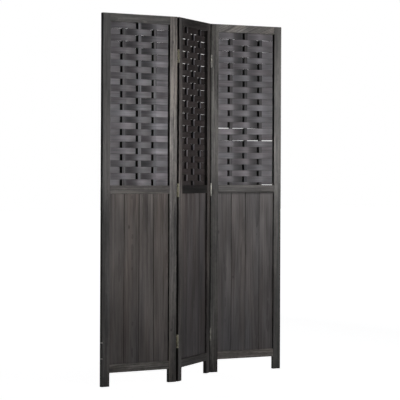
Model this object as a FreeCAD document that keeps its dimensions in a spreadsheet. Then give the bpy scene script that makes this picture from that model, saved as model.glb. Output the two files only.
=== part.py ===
import FreeCAD, Part
import math
import os

import Sketcher

# Driving sizes of the folding screen: millimetres, degrees for the folds, plain counts
driving_sizes = [
    ("panel_width", 400, "width of one panel"),
    ("panel_height", 1700, "height of one panel above the floor"),
    ("frame_thickness", 18, "thickness of stiles and rails"),
    ("stile_width", 41, "width of an upright stile"),
    ("rail_height", 38, "height of a rail"),
    ("foot_height", 62, "clear height under the bottom rail"),
    ("middle_rail_level", 876, "underside of the middle rail above the floor"),
    ("edge_round", 1, "rounding of stile and rail edges"),
    ("infill_setback", 3, "planks and weave lie this far behind the middle of the frame"),
    ("left_fold_angle", 35, "turn of the left panel out of line with the middle one"),
    ("right_fold_angle", 39, "turn of the right panel out of line with the middle one"),
    ("fit_clearance", 0.1, "side gap of a glued or pushed fit"),
    ("end_room", 0.5, "space left at the end of a groove, mortise or hole"),
    ("plank_count", 4, "planks in the lower half of a panel"),
    ("plank_thickness", 7, "thickness of a plank"),
    ("plank_tongue", 5, "depth of a plank's edge in the frame"),
    ("seam_gap", 0.3, "gap between neighbouring planks"),
    ("seam_bevel", 1.5, "bevel along both faces of a plank seam"),
    ("seam_tongue", 4, "width of the tongue between planks"),
    ("seam_tongue_thickness", 1.6, "thickness of the tongue between planks"),
    ("slat_count", 3, "upright slats in the woven half of a panel"),
    ("slat_spacing", 84, "distance between slat middles"),
    ("slat_width", 18, "width of a slat"),
    ("slat_thickness", 8, "thickness of a slat"),
    ("slat_round", 1, "rounding of slat edges"),
    ("slat_tenon", 10, "depth of a slat's end in a rail"),
    ("band_count", 26, "woven bands in a panel"),
    ("band_thickness", 1.5, "thickness of a woven band"),
    ("band_gap", 0.4, "gap between neighbouring bands"),
    ("band_end", 5, "depth of a band's end in a stile"),
    ("weave_clearance", 0.3, "gap between a band and what it passes"),
    ("dowel_radius", 4, "radius of a frame dowel"),
    ("dowel_length", 30, "length of a frame dowel"),
    ("dowel_spacing", 16, "distance between the two dowels of a rail end"),
    ("hinge_height", 62, "height of a hinge"),
    ("lower_hinge_level", 187, "middle of the lower hinge above the floor"),
    ("middle_hinge_rise", 16, "middle of the middle hinge above the middle rail's underside"),
    ("upper_hinge_drop", 182, "middle of the upper hinge below the top"),
    ("leaf_thickness", 1.5, "thickness of a hinge leaf"),
    ("barrel_radius", 3, "outer radius of a hinge knuckle"),
    ("knuckle_count", 5, "knuckles along a hinge"),
    ("knuckle_gap", 0.3, "gap between neighbouring knuckles"),
    ("pin_radius", 1.5, "radius of a hinge pin"),
    ("pin_clearance", 0.05, "running gap round a hinge pin"),
    ("screw_spacing", 22, "distance between the screws of a leaf"),
    ("screw_length", 12, "length of a hinge screw"),
    ("screw_head_radius", 2.6, "radius of a countersunk head"),
    ("screw_shank_radius", 1.4, "radius of a screw's shank"),
    ("screw_tip", 2, "length of a screw's point"),
    ("screw_slot_width", 0.8, "width of the slot in a screw head"),
    ("screw_slot_depth", 0.6, "depth of the slot in a screw head"),
]

doc = FreeCAD.newDocument("folding_screen")
sheet = doc.addObject("Spreadsheet::Sheet", "Sizes")
for row, (alias, number, meaning) in enumerate(driving_sizes, start=1):
    sheet.set(f"A{row}", meaning)
    sheet.set(f"B{row}", str(number))
    sheet.setAlias(f"B{row}", alias)
doc.recompute()


def value(expression):
    return float(sheet.evalExpression(expression))


# Sizes worked out from the driving ones, as expressions that the features are bound to
half_panel = "(Sizes.panel_width / 2)"
half_opening = "(Sizes.panel_width / 2 - Sizes.stile_width)"
plank_floor = "(Sizes.foot_height + Sizes.rail_height)"
plank_ceiling = "Sizes.middle_rail_level"
weave_floor = "(Sizes.middle_rail_level + Sizes.rail_height)"
weave_ceiling = "(Sizes.panel_height - Sizes.rail_height)"
plank_pitch = f"(2 * {half_opening} / Sizes.plank_count)"
band_pitch = f"(({weave_ceiling} - {weave_floor}) / Sizes.band_count)"
plank_groove = "(Sizes.plank_tongue + Sizes.end_room)"
band_groove = "(Sizes.band_end + Sizes.end_room)"
slat_mortise = "(Sizes.slat_tenon + Sizes.end_room)"
dowel_hole_depth = "(Sizes.dowel_length / 2 + Sizes.end_room)"
dowel_hole_radius = "(Sizes.dowel_radius + Sizes.fit_clearance)"
screw_hole_depth = "(Sizes.screw_length + Sizes.end_room)"
screw_hole_radius = "(Sizes.screw_shank_radius + Sizes.fit_clearance)"
leaf_front = "(Sizes.barrel_radius - Sizes.leaf_thickness)"
knuckle_length = "((Sizes.hinge_height + Sizes.knuckle_gap) / Sizes.knuckle_count - Sizes.knuckle_gap)"
knuckle_pitch = f"({knuckle_length} + Sizes.knuckle_gap)"

rail_levels = {
    "bottom": "Sizes.foot_height",
    "middle": "Sizes.middle_rail_level",
    "top": weave_ceiling,
}
hinge_levels = {
    "lower": "Sizes.lower_hinge_level",
    "middle": "Sizes.middle_rail_level + Sizes.middle_hinge_rise",
    "upper": "Sizes.panel_height - Sizes.upper_hinge_drop",
}
side_names = {-1: "left", 1: "right"}
nodes = []


# Where the panels stand: pivots lie outside the panel ends by half the gap and the barrel's radius
def turned(angle, x, y):
    spin = FreeCAD.Rotation(FreeCAD.Vector(0, 0, 1), angle)
    return spin.multVec(FreeCAD.Vector(x, y, 0))


pivot_across = value(f"{half_panel} + {leaf_front}")
pivot_out = value("Sizes.frame_thickness / 2 + Sizes.barrel_radius")
angles = {
    "left": 0,
    "middle": value("Sizes.left_fold_angle"),
    "right": value("Sizes.left_fold_angle - Sizes.right_fold_angle"),
}
pivots = {
    "left": turned(angles["middle"], -pivot_across, pivot_out),
    "right": turned(angles["middle"], pivot_across, -pivot_out),
}
centres = {
    "left": pivots["left"] - turned(angles["left"], pivot_across, pivot_out),
    "middle": FreeCAD.Vector(0, 0, 0),
    "right": pivots["right"] - turned(angles["right"], -pivot_across, -pivot_out),
}

# The origin is on the floor under the middle of the standing screen
corners = [
    centres[panel] + turned(angles[panel], across * value(half_panel), out * value("Sizes.frame_thickness / 2"))
    for panel in angles
    for across in (-1, 1)
    for out in (-1, 1)
]
middle = FreeCAD.Vector(
    (min(c.x for c in corners) + max(c.x for c in corners)) / 2,
    (min(c.y for c in corners) + max(c.y for c in corners)) / 2,
    0,
)
centres = {panel: centre - middle for panel, centre in centres.items()}
pivots = {joint: pivot - middle for joint, pivot in pivots.items()}

hinged_sides = {"left": (1,), "middle": (-1, 1), "right": (-1,)}

# The top band's side at the first slat, -1 in front: neighbouring panels are woven in turn
first_passes = {"left": -1, "middle": 1, "right": -1}


def panel_placement(panel):
    return FreeCAD.Placement(centres[panel], FreeCAD.Rotation(FreeCAD.Vector(0, 0, 1), angles[panel]))


# Helpers for sub-parts, sketches and features
def new_body(label, placement):
    body = doc.addObject("PartDesign::Body", label)
    body.Label = label
    body.Placement = placement
    nodes.append(body)
    return body


def new_solids(label, shape, placement):
    feature = doc.addObject("Part::Feature", label)
    feature.Label = label
    feature.Shape = shape
    feature.Placement = placement
    nodes.append(feature)
    return feature


def origin_feature(body, role):
    return next(feature for feature in body.Origin.OriginFeatures if feature.Role == role)


def new_sketch(body, name, role, offset="0"):
    sketch = body.newObject("Sketcher::SketchObject", name)
    sketch.AttachmentSupport = [(origin_feature(body, role), "")]
    sketch.MapMode = "FlatFace"
    sketch.setExpression("AttachmentOffset.Base.z", offset)
    return sketch


def bind(sketch, kind, *place, expression):
    index = sketch.addConstraint(Sketcher.Constraint(kind, *place, value(expression)))
    sketch.setExpression(f"Constraints[{index}]", expression)


def bind_point(sketch, geometry, end, x, y):
    bind(sketch, "DistanceX", -1, 1, geometry, end, expression=x)
    bind(sketch, "DistanceY", -1, 1, geometry, end, expression=y)


def add_outline(sketch, outline):
    first = sketch.GeometryCount
    points = [FreeCAD.Vector(value(x), value(y), 0) for x, y in outline]
    for start, end in zip(points, points[1:] + points[:1]):
        sketch.addGeometry(Part.LineSegment(start, end), False)
    for step in range(len(points)):
        after = first + (step + 1) % len(points)
        sketch.addConstraint(Sketcher.Constraint("Coincident", first + step, 2, after, 1))
    for step, (x, y) in enumerate(outline):
        bind_point(sketch, first + step, 1, x, y)


def add_rectangle(sketch, x_low, x_high, y_low, y_high):
    add_outline(sketch, [(x_low, y_low), (x_high, y_low), (x_high, y_high), (x_low, y_high)])


def add_circle(sketch, x, y, radius):
    centre = FreeCAD.Vector(value(x), value(y), 0)
    circle = Part.Circle(centre, FreeCAD.Vector(0, 0, 1), value(radius))
    geometry = sketch.addGeometry(circle, False)
    bind_point(sketch, geometry, 3, x, y)
    bind(sketch, "Radius", geometry, expression=radius)


def add_feature(body, kind, sketch, length, side_type="Symmetric"):
    feature = body.newObject(f"PartDesign::{kind}", f"{sketch.Name}_{kind.lower()}")
    feature.Profile = sketch
    feature.SideType = side_type
    feature.setExpression("Length", length)
    return feature


def round_all_edges(body, base, radius):
    doc.recompute()
    fillet = body.newObject("PartDesign::Fillet", f"{base.Name}_round")
    fillet.Base = (base, ["Edge1"])
    fillet.UseAllEdges = True
    fillet.setExpression("Radius", radius)
    return fillet


# Upright faces of a panel are drawn in its XZ plane, whose normal points to the panel's front
infill_plane = "-Sizes.infill_setback"


def add_plank_groove(body, x_low, x_high, z_low, z_high):
    sketch = new_sketch(body, "plank_groove", "XZ_Plane", infill_plane)
    add_rectangle(sketch, x_low, x_high, z_low, z_high)
    add_feature(body, "Pocket", sketch, "Sizes.plank_thickness + 2 * Sizes.fit_clearance")


def add_dowel_circles(sketch, level, radius):
    for step in (-1, 1):
        height = f"{level} + Sizes.rail_height / 2 + {step} * Sizes.dowel_spacing / 2"
        add_circle(sketch, "0", height, radius)


def add_dowel_holes(body, side, levels):
    sketch = new_sketch(body, f"{side_names[side]}_dowel_holes", "YZ_Plane", f"{side} * {half_opening}")
    for level in levels:
        add_dowel_circles(sketch, level, dowel_hole_radius)
    add_feature(body, "Pocket", sketch, f"2 * {dowel_hole_depth}")


def screw_heights(level):
    return [f"{level} + {step} * Sizes.screw_spacing" for step in (-1, 0, 1)]


def make_stile(panel, side):
    body = new_body(f"{panel}_panel_{side_names[side]}_stile", panel_placement(panel))
    inner = f"{side} * {half_opening}"
    outer = f"{side} * {half_panel}"

    blank = new_sketch(body, "stile_outline", "XZ_Plane")
    add_rectangle(blank, inner, outer, "0", "Sizes.panel_height")
    round_all_edges(body, add_feature(body, "Pad", blank, "Sizes.frame_thickness"), "Sizes.edge_round")

    groove_back = f"{side} * ({half_opening} + {plank_groove})"
    add_plank_groove(
        body, inner, groove_back, f"{plank_floor} - {plank_groove}", f"{plank_ceiling} + {plank_groove}"
    )

    band_slot = new_sketch(body, "band_groove", "XZ_Plane", infill_plane)
    add_rectangle(band_slot, inner, f"{side} * ({half_opening} + {band_groove})", weave_floor, weave_ceiling)
    add_feature(body, "Pocket", band_slot, "Sizes.band_thickness + 2 * Sizes.weave_clearance")

    add_dowel_holes(body, side, rail_levels.values())
    if side in hinged_sides[panel]:
        add_hinge_seats(body, side)
    return body


def add_hinge_seats(body, side):
    seats = new_sketch(body, "leaf_seats", "XZ_Plane")
    screw_holes = new_sketch(body, "screw_holes", "YZ_Plane", f"{side} * {half_panel}")
    seat_floor = f"{side} * ({half_panel} - Sizes.leaf_thickness)"
    seat_mouth = f"{side} * ({half_panel} + Sizes.leaf_thickness)"
    half_seat = "(Sizes.hinge_height / 2 + Sizes.fit_clearance)"
    for level in hinge_levels.values():
        add_rectangle(seats, seat_floor, seat_mouth, f"{level} - {half_seat}", f"{level} + {half_seat}")
        for height in screw_heights(level):
            add_circle(screw_holes, "0", height, screw_hole_radius)
    add_feature(body, "Pocket", seats, "2 * Sizes.frame_thickness")
    add_feature(body, "Pocket", screw_holes, f"2 * {screw_hole_depth}")


def slat_middle(index):
    return f"({index} - (Sizes.slat_count - 1) / 2) * Sizes.slat_spacing"


def add_slat_mortises(body, z_low, z_high):
    sketch = new_sketch(body, "slat_mortises", "XZ_Plane", infill_plane)
    half_mortise = "(Sizes.slat_width / 2 + Sizes.fit_clearance)"
    for index in range(int(value("Sizes.slat_count"))):
        middle_x = slat_middle(index)
        add_rectangle(sketch, f"{middle_x} - {half_mortise}", f"{middle_x} + {half_mortise}", z_low, z_high)
    add_feature(body, "Pocket", sketch, "Sizes.slat_thickness + 2 * Sizes.fit_clearance")


def make_rail(panel, position):
    body = new_body(f"{panel}_panel_{position}_rail", panel_placement(panel))
    level = rail_levels[position]
    top = f"({level} + Sizes.rail_height)"
    blank = new_sketch(body, "rail_outline", "XZ_Plane")
    add_rectangle(blank, f"-{half_opening}", half_opening, level, top)
    round_all_edges(body, add_feature(body, "Pad", blank, "Sizes.frame_thickness"), "Sizes.edge_round")

    if position == "bottom":
        add_plank_groove(body, f"-{half_opening}", half_opening, f"{top} - {plank_groove}", top)
    if position == "middle":
        add_plank_groove(body, f"-{half_opening}", half_opening, level, f"{level} + {plank_groove}")
        add_slat_mortises(body, f"{top} - {slat_mortise}", top)
    if position == "top":
        add_slat_mortises(body, level, f"{level} + {slat_mortise}")
    for side in side_names:
        add_dowel_holes(body, side, [level])
    return body


def make_plank(panel, index):
    count = int(value("Sizes.plank_count"))
    body = new_body(f"{panel}_panel_plank_{index + 1}", panel_placement(panel))
    seam_left = f"({index} * {plank_pitch} - {half_opening} + Sizes.seam_gap / 2)"
    seam_right = f"({index + 1} * {plank_pitch} - {half_opening} - Sizes.seam_gap / 2)"
    middle_y = "Sizes.infill_setback"
    front = "(Sizes.infill_setback - Sizes.plank_thickness / 2)"
    back = "(Sizes.infill_setback + Sizes.plank_thickness / 2)"
    half_tongue = "(Sizes.seam_tongue_thickness / 2)"
    half_slot = f"({half_tongue} + Sizes.fit_clearance)"
    slot_floor = f"{seam_left} + Sizes.seam_tongue + Sizes.end_room"
    tongue_tip = f"{seam_right} + Sizes.seam_tongue"

    # Left edge from back to front, then right edge from front to back
    if index == 0:
        frame_edge = f"-{half_opening} - Sizes.plank_tongue"
        outline = [(frame_edge, back), (frame_edge, front)]
    else:
        outline = [
            (f"{seam_left} + Sizes.seam_bevel", back),
            (seam_left, f"{back} - Sizes.seam_bevel"),
            (seam_left, f"{middle_y} + {half_slot}"),
            (slot_floor, f"{middle_y} + {half_slot}"),
            (slot_floor, f"{middle_y} - {half_slot}"),
            (seam_left, f"{middle_y} - {half_slot}"),
            (seam_left, f"{front} + Sizes.seam_bevel"),
            (f"{seam_left} + Sizes.seam_bevel", front),
        ]
    if index == count - 1:
        frame_edge = f"{half_opening} + Sizes.plank_tongue"
        outline += [(frame_edge, front), (frame_edge, back)]
    else:
        outline += [
            (f"{seam_right} - Sizes.seam_bevel", front),
            (seam_right, f"{front} + Sizes.seam_bevel"),
            (seam_right, f"{middle_y} - {half_tongue}"),
            (tongue_tip, f"{middle_y} - {half_tongue}"),
            (tongue_tip, f"{middle_y} + {half_tongue}"),
            (seam_right, f"{middle_y} + {half_tongue}"),
            (seam_right, f"{back} - Sizes.seam_bevel"),
            (f"{seam_right} - Sizes.seam_bevel", back),
        ]
    section = new_sketch(body, "plank_section", "XY_Plane", f"{plank_floor} - Sizes.plank_tongue")
    add_outline(section, outline)
    height = f"{plank_ceiling} - {plank_floor} + 2 * Sizes.plank_tongue"
    add_feature(body, "Pad", section, height, "One side")
    return body


def make_slat(panel, index):
    body = new_body(f"{panel}_panel_slat_{index + 1}", panel_placement(panel))
    middle_x = slat_middle(index)
    face = new_sketch(body, "slat_face", "XZ_Plane", infill_plane)
    add_rectangle(
        face,
        f"{middle_x} - Sizes.slat_width / 2",
        f"{middle_x} + Sizes.slat_width / 2",
        f"{weave_floor} - Sizes.slat_tenon",
        f"{weave_ceiling} + Sizes.slat_tenon",
    )
    round_all_edges(body, add_feature(body, "Pad", face, "Sizes.slat_thickness"), "Sizes.slat_round")
    return body


def make_dowels(panel):
    body = new_body(f"{panel}_panel_frame_dowels", panel_placement(panel))
    for side in side_names:
        ends = new_sketch(body, f"{side_names[side]}_dowels", "YZ_Plane", f"{side} * {half_opening}")
        for level in rail_levels.values():
            add_dowel_circles(ends, level, "Sizes.dowel_radius")
        add_feature(body, "Pad", ends, "Sizes.dowel_length")
    return body


# One face of a band: flat over each slat, with a pair of tangent arcs between neighbouring flats
def band_edges(stops, offset):
    edges = []
    for (x_from, y_from), (x_to, y_to) in zip(stops, stops[1:]):
        run = x_to - x_from
        rise = y_to - y_from
        if rise == 0:
            start = FreeCAD.Vector(x_from, y_from + offset, 0)
            end = FreeCAD.Vector(x_to, y_to + offset, 0)
            edges.append(Part.LineSegment(start, end).toShape())
            continue
        bend = (run**2 + rise**2) / (4 * rise)
        turn = 2 * math.atan(rise / run)
        near = [
            FreeCAD.Vector(
                x_from + (bend - offset) * math.sin(turn * share),
                y_from + bend - (bend - offset) * math.cos(turn * share),
                0,
            )
            for share in (0, 0.5, 1)
        ]
        far = [
            FreeCAD.Vector(
                x_to - (bend + offset) * math.sin(turn * share),
                y_to - bend + (bend + offset) * math.cos(turn * share),
                0,
            )
            for share in (1, 0.5, 0)
        ]
        edges.append(Part.Arc(*near).toShape())
        edges.append(Part.Arc(*far).toShape())
    return edges


def band_face(first_side):
    opening = value(half_opening)
    end = opening + value("Sizes.band_end")
    half_slat = value("Sizes.slat_width / 2")
    swing = value("Sizes.slat_thickness / 2 + Sizes.weave_clearance + Sizes.band_thickness / 2")
    half_band = value("Sizes.band_thickness / 2")
    level = value("Sizes.infill_setback")

    stops = [(-end, level), (-opening, level)]
    for index in range(int(value("Sizes.slat_count"))):
        middle_x = value(slat_middle(index))
        y = level + first_side * swing * (-1) ** index
        stops += [(middle_x - half_slat, y), (middle_x + half_slat, y)]
    stops += [(opening, level), (end, level)]

    ends = [
        Part.LineSegment(
            FreeCAD.Vector(x, level - half_band, 0), FreeCAD.Vector(x, level + half_band, 0)
        ).toShape()
        for x in (-end, end)
    ]
    outline = band_edges(stops, -half_band) + band_edges(stops, half_band) + ends
    return Part.Face(Part.Wire(Part.__sortEdges__(outline)))


def make_weave(panel):
    faces = {side: band_face(side) for side in (-1, 1)}
    pitch = value(band_pitch)
    gap = value("Sizes.band_gap")
    bands = []
    for row in range(int(value("Sizes.band_count"))):
        band = faces[first_passes[panel] * (-1) ** row].extrude(FreeCAD.Vector(0, 0, pitch - gap))
        band.translate(FreeCAD.Vector(0, 0, value(weave_ceiling) - (row + 1) * pitch + gap / 2))
        bands.append(band)
    return new_solids(f"{panel}_panel_weave_bands", Part.makeCompound(bands), panel_placement(panel))


# A countersunk screw along X with its head flush at zero, pointing to -X
def screw_solid():
    head = value("Sizes.screw_head_radius")
    shank = value("Sizes.screw_shank_radius")
    length = value("Sizes.screw_length")
    tip = value("Sizes.screw_tip")
    slot_width = value("Sizes.screw_slot_width")
    slot_depth = value("Sizes.screw_slot_depth")
    profile = [(0, 0), (0, head), (shank - head, shank), (tip - length, shank), (-length, 0), (0, 0)]
    outline = Part.makePolygon([FreeCAD.Vector(x, y, 0) for x, y in profile])
    screw = Part.Face(outline).revolve(FreeCAD.Vector(0, 0, 0), FreeCAD.Vector(1, 0, 0), 360)
    slot = Part.makeBox(
        2 * slot_depth, slot_width, 2 * head, FreeCAD.Vector(-slot_depth, -slot_width / 2, -head)
    )
    return screw.cut(slot)


def make_hinge_screws(panel):
    screws = []
    for side in hinged_sides[panel]:
        for level in hinge_levels.values():
            for height in screw_heights(level):
                screw = screw_solid()
                if side < 0:
                    screw.rotate(FreeCAD.Vector(0, 0, 0), FreeCAD.Vector(0, 0, 1), 180)
                screw.translate(FreeCAD.Vector(side * value(half_panel), 0, value(height)))
                screws.append(screw)
    return new_solids(f"{panel}_panel_hinge_screws", Part.makeCompound(screws), panel_placement(panel))


# A hinge leaf about its pin: the plate lies at -X, set into the stile's end over its whole thickness
def make_leaf(label, placement, first_knuckle):
    body = new_body(label, placement)
    plate = new_sketch(body, "leaf_plate", "XY_Plane")
    plate_far = "Sizes.barrel_radius + Sizes.frame_thickness"
    add_rectangle(plate, "-Sizes.barrel_radius", f"-{leaf_front}", "Sizes.barrel_radius", plate_far)
    add_feature(body, "Pad", plate, "Sizes.hinge_height")

    knuckle_foot = f"{first_knuckle} * {knuckle_pitch} - Sizes.hinge_height / 2"
    knuckle = new_sketch(body, "knuckle_section", "XY_Plane", knuckle_foot)
    add_knuckle_outline(knuckle)
    first = add_feature(body, "Pad", knuckle, knuckle_length, "One side")
    pattern = body.newObject("PartDesign::LinearPattern", "knuckle_row")
    pattern.Originals = [first]
    pattern.Direction = (origin_feature(body, "Z_Axis"), [""])
    knuckles = (int(value("Sizes.knuckle_count")) - first_knuckle + 1) // 2
    pattern.Occurrences = knuckles
    pattern.setExpression("Length", f"{2 * (knuckles - 1)} * {knuckle_pitch}")
    body.Tip = pattern

    bore = new_sketch(body, "pin_bore", "XY_Plane")
    add_circle(bore, "0", "0", "Sizes.pin_radius + Sizes.pin_clearance")
    add_feature(body, "Pocket", bore, "2 * Sizes.hinge_height")

    holes = new_sketch(body, "screw_places", "YZ_Plane", f"-{leaf_front}")
    for height in screw_heights("0"):
        add_circle(holes, "Sizes.barrel_radius + Sizes.frame_thickness / 2", height, screw_hole_radius)
    doc.recompute()
    drilled = body.newObject("PartDesign::Hole", "countersunk_holes")
    drilled.Profile = holes
    drilled.ThreadType = "None"
    drilled.DepthType = "ThroughAll"
    drilled.HoleCutType = "Countersink"
    drilled.HoleCutCountersinkAngle = 90
    drilled.setExpression("Diameter", f"2 * {screw_hole_radius}")
    drilled.setExpression("HoleCutDiameter", "2 * (Sizes.screw_head_radius + Sizes.fit_clearance)")
    return body


# The knuckle is a round barrel with a straight web that runs tangent into the plate
def add_knuckle_outline(sketch):
    radius = value("Sizes.barrel_radius")
    front = value(leaf_front)
    web_top = "Sizes.barrel_radius + Sizes.leaf_thickness"
    web_start = math.acos(-front / radius)
    circle = Part.Circle(FreeCAD.Vector(0, 0, 0), FreeCAD.Vector(0, 0, 1), radius)
    arc = sketch.addGeometry(Part.ArcOfCircle(circle, math.pi, 2 * math.pi + web_start), False)
    points = [
        FreeCAD.Vector(-front, radius * math.sin(web_start), 0),
        FreeCAD.Vector(-front, value(web_top), 0),
        FreeCAD.Vector(-radius, value(web_top), 0),
        FreeCAD.Vector(-radius, 0, 0),
    ]
    inner, top, outer = [
        sketch.addGeometry(Part.LineSegment(start, end), False) for start, end in zip(points, points[1:])
    ]
    sketch.addConstraint(Sketcher.Constraint("Coincident", arc, 3, -1, 1))
    sketch.addConstraint(Sketcher.Constraint("Coincident", arc, 2, inner, 1))
    sketch.addConstraint(Sketcher.Constraint("Coincident", inner, 2, top, 1))
    sketch.addConstraint(Sketcher.Constraint("Coincident", top, 2, outer, 1))
    sketch.addConstraint(Sketcher.Constraint("Tangent", outer, 2, arc, 1))
    sketch.addConstraint(Sketcher.Constraint("Vertical", inner))
    sketch.addConstraint(Sketcher.Constraint("Vertical", outer))
    bind(sketch, "Radius", arc, expression="Sizes.barrel_radius")
    bind_point(sketch, inner, 2, f"-{leaf_front}", web_top)
    bind(sketch, "DistanceY", -1, 1, outer, 1, expression=web_top)


def leaf_placement(joint, panel, level):
    # The left pivot is behind the panels and the right one in front of them
    flips = {
        ("left", "left"): FreeCAD.Rotation(FreeCAD.Vector(1, 0, 0), 180),
        ("left", "middle"): FreeCAD.Rotation(FreeCAD.Vector(0, 0, 1), 180),
        ("right", "middle"): FreeCAD.Rotation(),
        ("right", "right"): FreeCAD.Rotation(FreeCAD.Vector(0, 1, 0), 180),
    }
    spin = FreeCAD.Rotation(FreeCAD.Vector(0, 0, 1), angles[panel])
    place = pivots[joint] + FreeCAD.Vector(0, 0, value(level))
    return FreeCAD.Placement(place, spin.multiply(flips[(joint, panel)]))


def make_hinges(joint):
    for name, level in hinge_levels.items():
        outer_place = leaf_placement(joint, joint, level)
        make_leaf(f"{joint}_{name}_hinge_outer_leaf", outer_place, first_knuckle=1)
        inner_place = leaf_placement(joint, "middle", level)
        make_leaf(f"{joint}_{name}_hinge_inner_leaf", inner_place, first_knuckle=0)
    pins = new_body(f"{joint}_hinge_pins", FreeCAD.Placement(pivots[joint], FreeCAD.Rotation()))
    for name, level in hinge_levels.items():
        section = new_sketch(pins, f"{name}_pin", "XY_Plane", level)
        add_circle(section, "0", "0", "Sizes.pin_radius")
        add_feature(pins, "Pad", section, "Sizes.hinge_height")


for panel in angles:
    for side in side_names:
        make_stile(panel, side)
    for position in rail_levels:
        make_rail(panel, position)
    for index in range(int(value("Sizes.plank_count"))):
        make_plank(panel, index)
    for index in range(int(value("Sizes.slat_count"))):
        make_slat(panel, index)
    make_weave(panel)
    make_dowels(panel)
    make_hinge_screws(panel)
for joint in pivots:
    make_hinges(joint)
doc.recompute()

# Every feature has to be sound, and every cut has to take something away
for feature in doc.Objects:
    if {"Invalid", "Error"} & set(feature.State):
        raise RuntimeError(f"{feature.Label} did not compute")
    if feature.TypeId in ("PartDesign::Pocket", "PartDesign::Hole"):
        if feature.Shape.Volume >= feature.BaseFeature.Shape.Volume:
            raise RuntimeError(f"{feature.Label} cuts nothing")
for node in nodes:
    if node.Shape.isNull() or not node.Shape.isValid():
        raise RuntimeError(f"{node.Label} has no sound shape")

os.makedirs("parts", exist_ok=True)
for node in nodes:
    node.Shape.exportStep(f"parts/{node.Label}.step")
print(len(nodes), "sub-parts,", sum(len(node.Shape.Solids) for node in nodes), "solids")
for joint, pivot in pivots.items():
    print(f"{joint} pivot at x {pivot.x:.4f}, y {pivot.y:.4f}")
for panel, centre in centres.items():
    print(f"{panel} panel's middle at x {centre.x:.4f}, y {centre.y:.4f}, turned {angles[panel]:.2f}")
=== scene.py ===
# Folding screen of dark stained wood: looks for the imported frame
import math
import random

import bmesh
import bpy
from mathutils import Matrix, Vector


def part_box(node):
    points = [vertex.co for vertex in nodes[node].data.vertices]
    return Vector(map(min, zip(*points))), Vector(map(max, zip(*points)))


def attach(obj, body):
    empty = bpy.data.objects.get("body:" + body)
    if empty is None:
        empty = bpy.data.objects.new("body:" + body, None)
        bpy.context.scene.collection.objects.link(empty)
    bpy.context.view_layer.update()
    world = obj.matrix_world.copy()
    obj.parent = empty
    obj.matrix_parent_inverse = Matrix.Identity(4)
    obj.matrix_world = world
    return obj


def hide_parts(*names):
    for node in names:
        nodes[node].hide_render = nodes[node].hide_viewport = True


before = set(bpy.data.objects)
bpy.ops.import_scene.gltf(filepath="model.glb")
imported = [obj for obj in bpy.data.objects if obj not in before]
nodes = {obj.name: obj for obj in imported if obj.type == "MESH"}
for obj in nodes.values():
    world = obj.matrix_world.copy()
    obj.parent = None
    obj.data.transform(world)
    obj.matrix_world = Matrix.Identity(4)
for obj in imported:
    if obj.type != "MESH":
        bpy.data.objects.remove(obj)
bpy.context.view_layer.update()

panels = ("left", "middle", "right")
black, white = (0, 0, 0, 1), (1, 1, 1, 1)


def boxMiddle(node):
    low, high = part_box(node)
    return (low + high) / 2


def panelPlace(panel):
    # where a panel stands and how far it is turned, read from its stiles
    leftStile = boxMiddle(f"{panel}_panel_left_stile")
    rightStile = boxMiddle(f"{panel}_panel_right_stile")
    across = rightStile - leftStile
    middle = (leftStile + rightStile) / 2
    return Vector((middle.x, middle.y, 0)), math.atan2(across.y, across.x)


def panelMatrix(panel):
    middle, turn = panelPlace(panel)
    return Matrix.Translation(middle) @ Matrix.Rotation(turn, 4, "Z")


def clip(value, low=0.0, high=1.0):
    return max(low, min(high, value))


# node helpers

def put(tree, kind, inputs=None, **settings):
    node = tree.nodes.new("ShaderNode" + kind)
    for key, value in settings.items():
        setattr(node, key, value)
    for key, value in (inputs or {}).items():
        if isinstance(value, bpy.types.NodeSocket):
            tree.links.new(value, node.inputs[key])
        else:
            node.inputs[key].default_value = value
    return node


def calc(tree, operation, first, second=0.0):
    return put(tree, "Math", {0: first, 1: second}, operation=operation).outputs[0]


def weigh(tree, start, parts):
    # the start plus each part times its share
    for part, share in parts:
        start = calc(tree, "ADD", start, calc(tree, "MULTIPLY", part, share))
    return start


def vectors(tree, operation, first, second):
    return put(tree, "VectorMath", {0: first, 1: second}, operation=operation).outputs[0]


def noise(tree, vector, amounts, detail, rough):
    return put(tree, "TexNoise", {"Vector": vectors(tree, "MULTIPLY", vector, amounts), "Scale": 1.0,
                                  "Detail": detail, "Roughness": rough})


def patterns(tree, vector, plan):
    return {name: noise(tree, vector, *pattern).outputs["Fac"] for name, pattern in plan.items()}


def ease(tree, value, low, high, toLow=0.0, toHigh=1.0):
    return put(tree, "MapRange", {"Value": value, "From Min": low, "From Max": high,
                                  "To Min": toLow, "To Max": toHigh},
               interpolation_type="SMOOTHSTEP").outputs[0]


def ramp(tree, value, stops):
    node = put(tree, "ValToRGB", {"Fac": value})
    band = node.color_ramp
    while len(band.elements) < len(stops):
        band.elements.new(0.5)
    for element, (spot, colour) in zip(band.elements, stops):
        element.position = spot
        element.color = (*colour, 1.0)
    return node.outputs["Color"]


def blend(tree, amount, first, second, way="MIX"):
    return put(tree, "Mix", {0: amount, 6: first, 7: second}, data_type="RGBA", blend_type=way).outputs[2]


def attribute(tree, name, output="Fac"):
    return put(tree, "Attribute", attribute_name=name).outputs[output]


def panelSpace(tree, panel):
    # x across the panel, y through it
    middle, turn = panelPlace(panel)
    place = put(tree, "TexCoord").outputs["Object"]
    return put(tree, "Mapping", {"Vector": place, "Location": middle, "Rotation": (0, 0, turn)},
               vector_type="TEXTURE").outputs[0]


def newMaterial(name):
    material = bpy.data.materials.new(name)
    material.use_nodes = True
    return material, material.node_tree, material.node_tree.nodes["Principled BSDF"]


def setRough(tree, shader, value, span, rough):
    # dull where the value is low, smoother where it is high
    smooth, dull = rough
    level = put(tree, "MapRange", {"Value": value, "From Min": span[0], "From Max": span[1],
                                   "To Min": dull, "To Max": smooth})
    tree.links.new(level.outputs[0], shader.inputs["Roughness"])


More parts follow.
